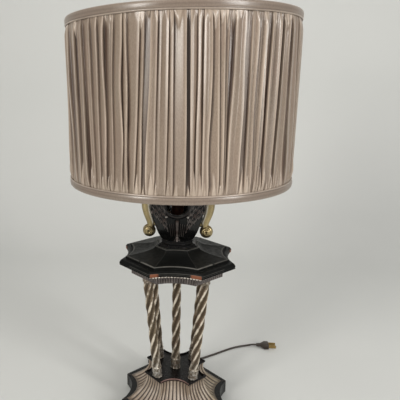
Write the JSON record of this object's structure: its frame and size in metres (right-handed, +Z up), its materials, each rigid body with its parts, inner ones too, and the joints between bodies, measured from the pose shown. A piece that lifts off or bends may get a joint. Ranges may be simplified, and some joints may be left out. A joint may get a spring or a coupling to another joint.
{
  "type": "table lamp",
  "caption": "Table lamp: pleated drum shade on a harp, black urn with brass handles, rope columns between a hollow-sided cap and stepped plinth, cord and plug.",
  "frame": {"origin": "on the table, under the middle of the base", "axes": "+Z up along the lamp's rod, +X to the right along the brass handles, front faces -Y, cord leaves at the back on +Y"},
  "size_m": [0.3981, 0.4073, 0.7018],
  "materials": {
    "felt": "matte felt",
    "black_lacquer": "black lacquer over cast metal, satin to gloss, rubbed brown on raised edges",
    "gilt_lacquer": "brown and gold glaze over fluted casting",
    "antique_bronze": "antiqued silver-gold over dark brown",
    "stem_brown": "dark red-brown satin",
    "cast_iron": "as cast",
    "steel": "zinc plated",
    "brass": "satin, slightly aged",
    "insulator": "matte",
    "black_plastic": "gloss",
    "aluminium": "satin",
    "bulb_glass": "frosted",
    "lining": "plain off-white",
    "shade_satin": "taupe-pink pleated satin",
    "cord_plastic": "dark brown, soft sheen"
  },
  "bodies": {
    "lamp": {"felt_pad": "felt", "plinth": "black_lacquer", "base_weight": "cast_iron", "weight_screws": "steel", "base_washer": "steel", "base_nut": "steel", "cord_bushing": "cord_plastic", "skirt": "gilt_lacquer", "base_plate": "black_lacquer", "column_screws_lower": "steel", "column_front_left": "antique_bronze", "column_front_right": "antique_bronze", "column_back_right": "antique_bronze", "column_back_left": "antique_bronze", "centre_column": "antique_bronze", "capital_cove": "gilt_lacquer", "column_screws_upper": "steel", "cap_washer": "steel", "cap_nut": "steel", "cap": "black_lacquer", "urn_foot": "black_lacquer", "urn_body": "black_lacquer", "handle_left": "brass", "handle_right": "brass", "threaded_rod": "steel", "stem_tube": "stem_brown", "check_ring": "brass", "harp_saddle": "brass", "harp": "brass", "socket_cap": "brass", "socket_shell": "brass", "socket_liner": "insulator", "socket_core": "insulator", "screw_shell": "brass", "inner_lead": "cord_plastic", "cord_start": "cord_plastic", "cord_hank": "cord_plastic", "cord_outer": "cord_plastic", "hank_tie": "cord_plastic", "plug": "cord_plastic", "plug_blades": "brass"},
    "shade": {"spider": "steel", "shade_top_ring": "steel", "shade_bottom_ring": "steel", "shade_ribs": "steel", "shade_lining": "lining", "shade_cover": "shade_satin", "trim_top": "shade_satin", "trim_bottom": "shade_satin"},
    "finial": {"finial": "brass"},
    "knob": {"switch_knob": "black_plastic"},
    "bulb": {"bulb_base": "aluminium", "bulb_glass": "bulb_glass"},
    "ferrule_left": {"ferrule_left": "brass"},
    "ferrule_right": {"ferrule_right": "brass"}
  },
  "joints": [
    {"name": "shade_turn", "type": "hinge", "parent": "lamp", "child": "shade", "pos_m": [0, 0, 0.6662], "axis": [0, 0, 1], "continuous": true},
    {"name": "finial_turn", "type": "hinge", "parent": "lamp", "child": "finial", "pos_m": [0, 0, 0.6688], "axis": [0, 0, 1], "continuous": true},
    {"name": "bulb_turn", "type": "hinge", "parent": "lamp", "child": "bulb", "pos_m": [0, 0, 0.4721], "axis": [0, 0, 1], "continuous": true},
    {"name": "knob_turn", "type": "hinge", "parent": "lamp", "child": "knob", "pos_m": [0, -0.0174, 0.4626], "axis": [0, -1, 0], "continuous": true},
    {"name": "ferrule_left_lift", "type": "slide", "parent": "lamp", "child": "ferrule_left", "axis": [0, 0, 1], "range_m": [0, 0.012]},
    {"name": "ferrule_right_lift", "type": "slide", "parent": "lamp", "child": "ferrule_right", "axis": [0, 0, 1], "range_m": [0, 0.012]}
  ]
}
